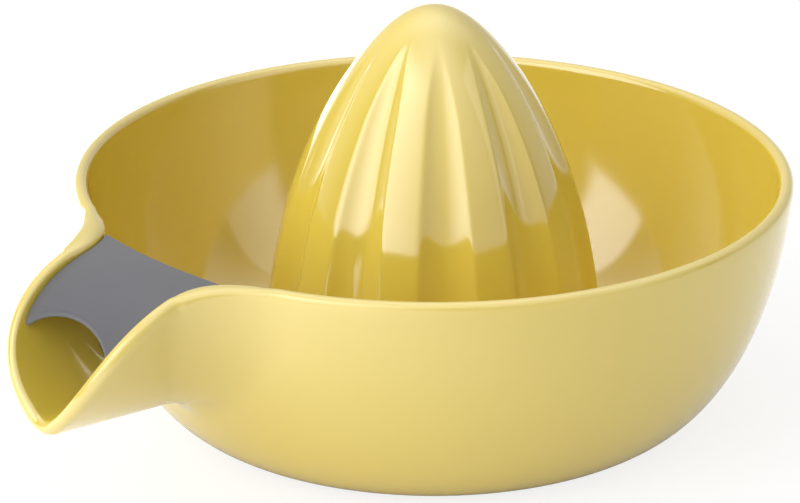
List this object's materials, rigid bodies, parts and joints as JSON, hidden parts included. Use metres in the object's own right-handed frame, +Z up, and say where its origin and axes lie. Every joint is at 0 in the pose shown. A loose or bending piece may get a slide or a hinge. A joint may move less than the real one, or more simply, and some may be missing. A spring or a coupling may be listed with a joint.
{
  "type": "lemon squeezer",
  "caption": "Bowl-type citrus squeezer: a fluted reamer stands in a bowl whose wall runs out into an open pouring spout, bridged by a lift-out thumb rest with a pip comb.",
  "frame": {"origin": "centre of the flat base on the table, on the bowl's axis", "axes": "+Z up along the bowl's axis, -X along the spout towards its tip, +Y across the spout"},
  "size_m": [0.1671, 0.1398, 0.0831],
  "materials": {
    "yellow_moulding": "glossy moulded melamine, pale lemon yellow",
    "grey_insert": "matt moulded elastomer, mid grey"
  },
  "bodies": {
    "squeezer": {"bowl": "yellow_moulding", "reamer": "yellow_moulding"},
    "insert": {"spout_strainer": "grey_insert"}
  },
  "joints": [
    {"name": "strainer_lift", "type": "slide", "parent": "squeezer", "child": "insert", "axis": [0, 0, 1], "range_m": [0, 0.06]}
  ]
}
